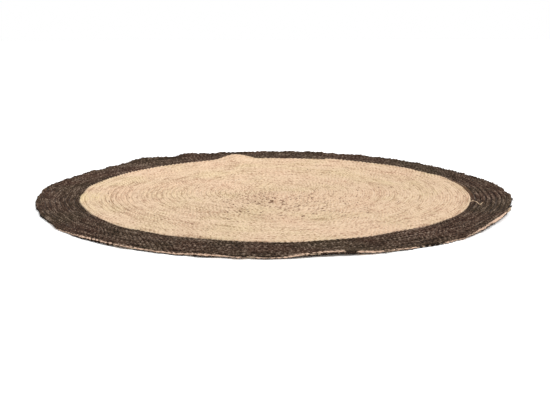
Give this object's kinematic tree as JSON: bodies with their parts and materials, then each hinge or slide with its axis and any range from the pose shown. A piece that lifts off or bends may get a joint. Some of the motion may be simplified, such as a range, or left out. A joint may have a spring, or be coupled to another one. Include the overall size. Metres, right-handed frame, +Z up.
{
  "type": "round braided jute rug",
  "caption": "Round floor rug of braided jute, sewn in a flat coil, with a natural centre and a dark border, lying with small ripples at its rim.",
  "frame": {"origin": "on the floor, under the middle of the coil, on the flat underside", "axes": "+Z up, out of the upper face; -Y towards the side that the picture was taken from"},
  "size_m": [1.5025, 1.5016, 0.0275],
  "materials": {
    "natural_jute": "matt, undyed braided jute, pale straw with brown flecks",
    "dark_jute": "matt, braided jute dyed dark brown-grey on its upper side"
  },
  "bodies": {
    "root": {"natural_centre": "natural_jute", "dark_border": "dark_jute"}
  },
  "joints": []
}
